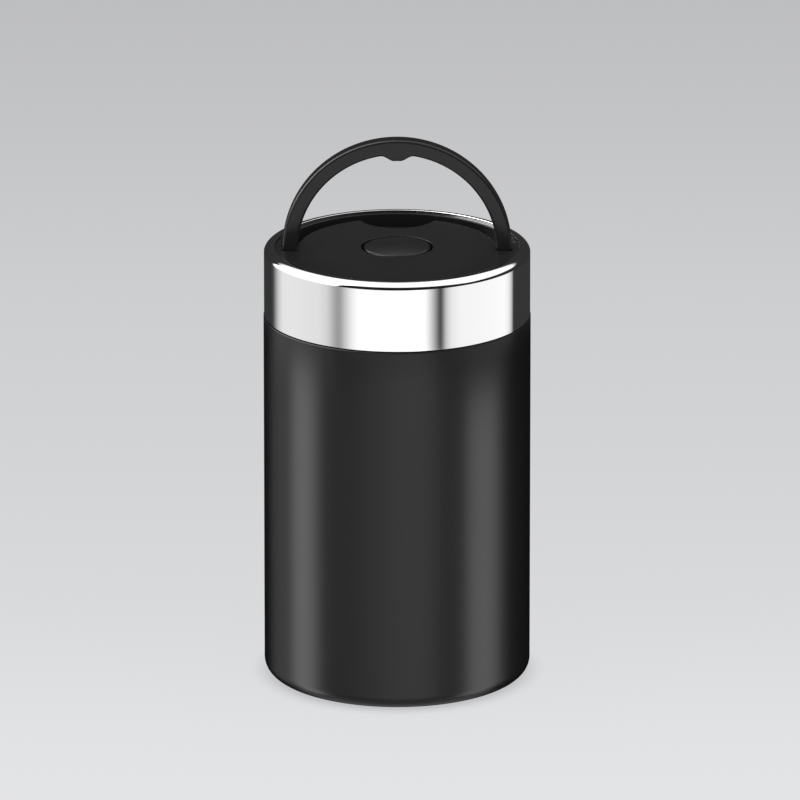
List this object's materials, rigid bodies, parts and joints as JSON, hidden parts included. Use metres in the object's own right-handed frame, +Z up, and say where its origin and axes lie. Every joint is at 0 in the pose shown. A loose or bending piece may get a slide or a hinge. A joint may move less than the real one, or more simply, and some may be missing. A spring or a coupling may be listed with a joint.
{
  "type": "insulated food jar",
  "caption": "Double-walled steel food jar, upright cylinder, with a screw lid that carries a folding bail handle and a pressure button.",
  "frame": {"origin": "centre of the base, on the surface that the jar stands on", "axes": "+Z up along the jar's axis; -Y is the front; the handle's pivot runs along X and it folds back towards +Y"},
  "size_m": [0.1, 0.1, 0.2084],
  "materials": {
    "black_paint": "satin black powder coat",
    "polished_steel": "mirror polished stainless steel",
    "satin_steel": "satin stainless steel",
    "black_plastic": "fine-grained black polypropylene",
    "grey_plastic": "smooth dark grey polypropylene",
    "silicone": "translucent grey silicone",
    "foam": "closed-cell foam",
    "copper_foil": "bright copper foil",
    "sealing_glass": "fused glass bead"
  },
  "bodies": {
    "jar": {"outer_shell": "black_paint", "inner_vessel": "satin_steel", "heat_shield": "copper_foil", "vacuum_base": "satin_steel", "seal_bead": "sealing_glass", "base_cover": "satin_steel", "getter_strap": "satin_steel", "getter": "satin_steel"},
    "lid_puck": {"lid_insulation": "foam"},
    "lid_seal": {"lid_gasket": "silicone"},
    "lid": {"lid_band": "polished_steel", "lid_top": "black_plastic", "lid_body": "black_plastic", "lid_liner": "grey_plastic", "handle_pin_left": "satin_steel", "handle_pin_right": "satin_steel"},
    "handle": {"handle": "black_plastic"},
    "vent": {"vent_button": "black_plastic", "vent_stem": "black_plastic", "valve_seal": "silicone", "vent_spring": "satin_steel"}
  },
  "joints": [
    {"name": "lid_lift", "type": "slide", "parent": "jar", "child": "lid_puck", "axis": [0, 0, 1], "range_m": [0, 0.1]},
    {"name": "lid_rise", "type": "slide", "parent": "lid_puck", "child": "lid_seal", "axis": [0, 0, 1], "range_m": [0, 0.005]},
    {"name": "lid_turn", "type": "hinge", "parent": "lid_seal", "child": "lid", "pos_m": [0, 0, 0.153], "axis": [0, 0, 1], "range_deg": [0, 450]},
    {"name": "handle_fold", "type": "hinge", "parent": "lid", "child": "handle", "pos_m": [0, 0, 0.16428], "axis": [-1, 0, 0], "range_deg": [0, 90]},
    {"name": "vent_press", "type": "slide", "parent": "lid", "child": "vent", "axis": [0, 0, -1], "range_m": [0, 0.002], "stiffness_N_per_m": 1500, "springref_m": -0.002, "deforming": ["vent_spring"]}
  ],
  "couplings": [
    {"joint": "lid_rise", "follows": "lid_turn", "m_per_rad": 0.000636}
  ]
}
